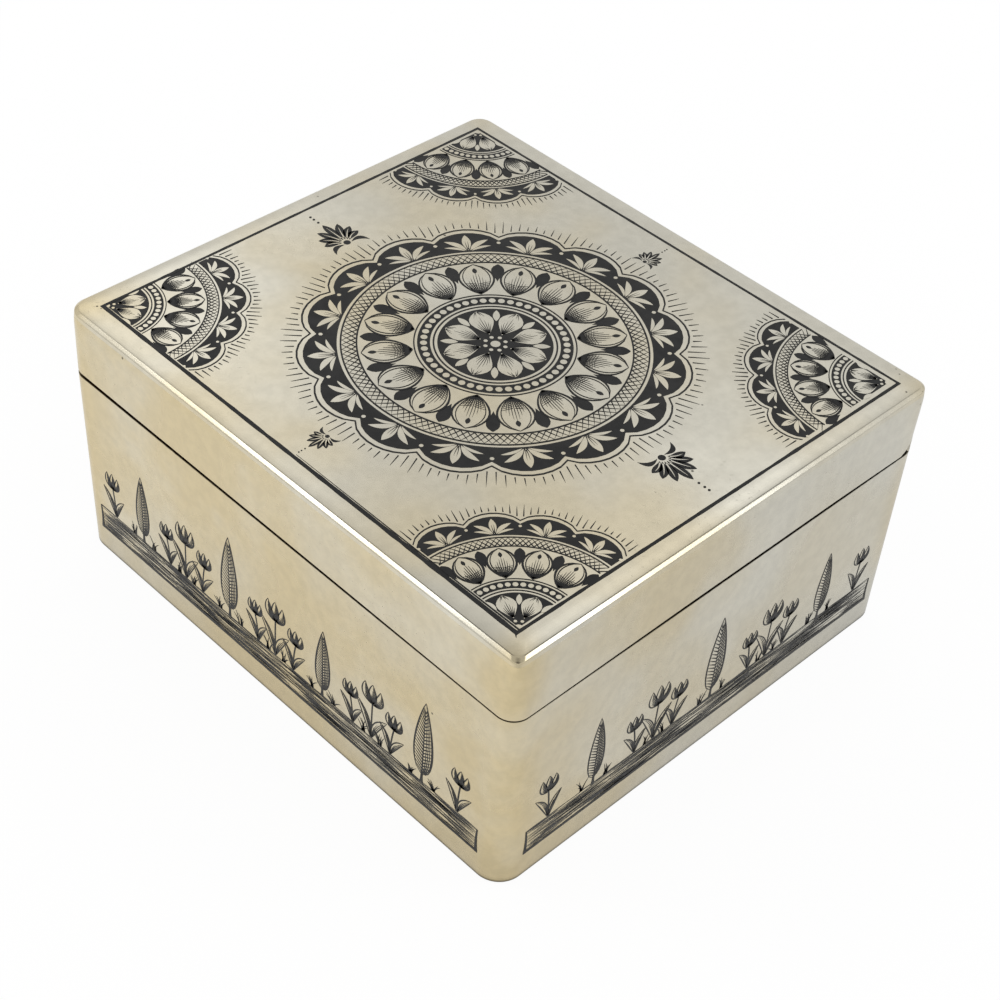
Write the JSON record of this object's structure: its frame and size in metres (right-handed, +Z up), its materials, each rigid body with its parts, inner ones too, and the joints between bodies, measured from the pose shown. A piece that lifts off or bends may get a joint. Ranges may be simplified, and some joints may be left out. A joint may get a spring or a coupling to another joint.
{
  "type": "hinged table box",
  "caption": "Rectangular silver table box with round corners, a hinged lid, black niello lines and a cedar-lined inside with a partition.",
  "frame": {"origin": "middle of the flat underside", "axes": "+X along the front, +Y from the front to the hinge at the back, +Z up through the lid"},
  "size_m": [0.1, 0.0886, 0.0478],
  "materials": {
    "silver": "satin hand-polished silver, lightly tarnished",
    "niello": "black niello, polished flush",
    "cedar": "planed cedar, unvarnished",
    "pin_steel": "drawn wire"
  },
  "bodies": {
    "body": {"body_wall": "silver", "base_plate": "silver", "body_hinge_bearer": "silver", "body_knuckle_1": "silver", "body_knuckle_2": "silver", "body_knuckle_3": "silver", "body_knuckle_4": "silver", "hinge_pin": "pin_steel", "hinge_plug_left": "silver", "hinge_plug_right": "silver", "lining_floor": "cedar", "lining_front": "cedar", "lining_back": "cedar", "lining_left": "cedar", "lining_right": "cedar", "lining_divider": "cedar", "niello_front": "niello", "niello_right": "niello", "niello_back": "niello", "niello_left": "niello"},
    "lid": {"lid_rim": "silver", "lid_top": "silver", "lid_hinge_bearer": "silver", "lid_knuckle_1": "silver", "lid_knuckle_2": "silver", "lid_knuckle_3": "silver", "niello_lid_border": "niello"}
  },
  "joints": [
    {"name": "lid_hinge", "type": "hinge", "parent": "body", "child": "lid", "pos_m": [0, 0.0429, 0.03665], "axis": [-1, 0, 0], "range_deg": [0, 115]}
  ]
}
